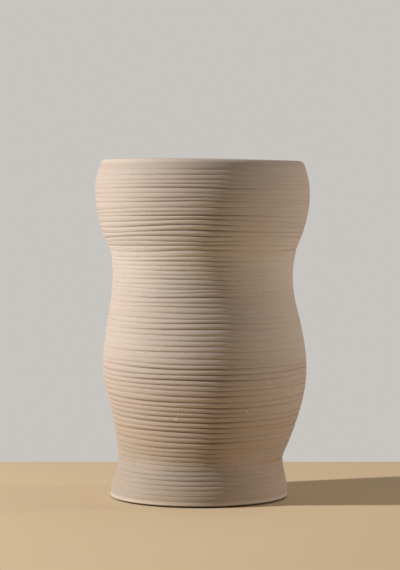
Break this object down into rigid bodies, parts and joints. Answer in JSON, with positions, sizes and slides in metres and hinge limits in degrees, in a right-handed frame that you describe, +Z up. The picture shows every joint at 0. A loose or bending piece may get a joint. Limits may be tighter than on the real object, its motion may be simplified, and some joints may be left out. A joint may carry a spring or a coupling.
{
  "type": "stoneware vase",
  "caption": "Tall hand-thrown vase with a wide mouth, full shoulder, narrow waist, round belly and flared foot, finely ribbed all over and glazed inside.",
  "frame": {"origin": "on the surface it stands on, below the middle of the vase's box", "axes": "+Z up through the mouth, -Y towards the viewer, +X to the viewer's right"},
  "size_m": [0.1778, 0.1778, 0.28],
  "materials": {
    "stoneware": "unglazed, matt, fine ribs with a sandy grain",
    "foot_stoneware": "unglazed, matt, wiped smooth",
    "joining_slip": "unglazed, matt, dense and fine",
    "liner_glaze": "satin, thin, over throwing rings"
  },
  "bodies": {
    "root": {"base_slab": "foot_stoneware", "slip_seam_base": "joining_slip", "foot_section": "foot_stoneware", "slip_seam_foot": "joining_slip", "belly_section": "stoneware", "slip_seam_shoulder": "joining_slip", "shoulder_section": "stoneware", "liner_glaze": "liner_glaze"}
  },
  "joints": []
}
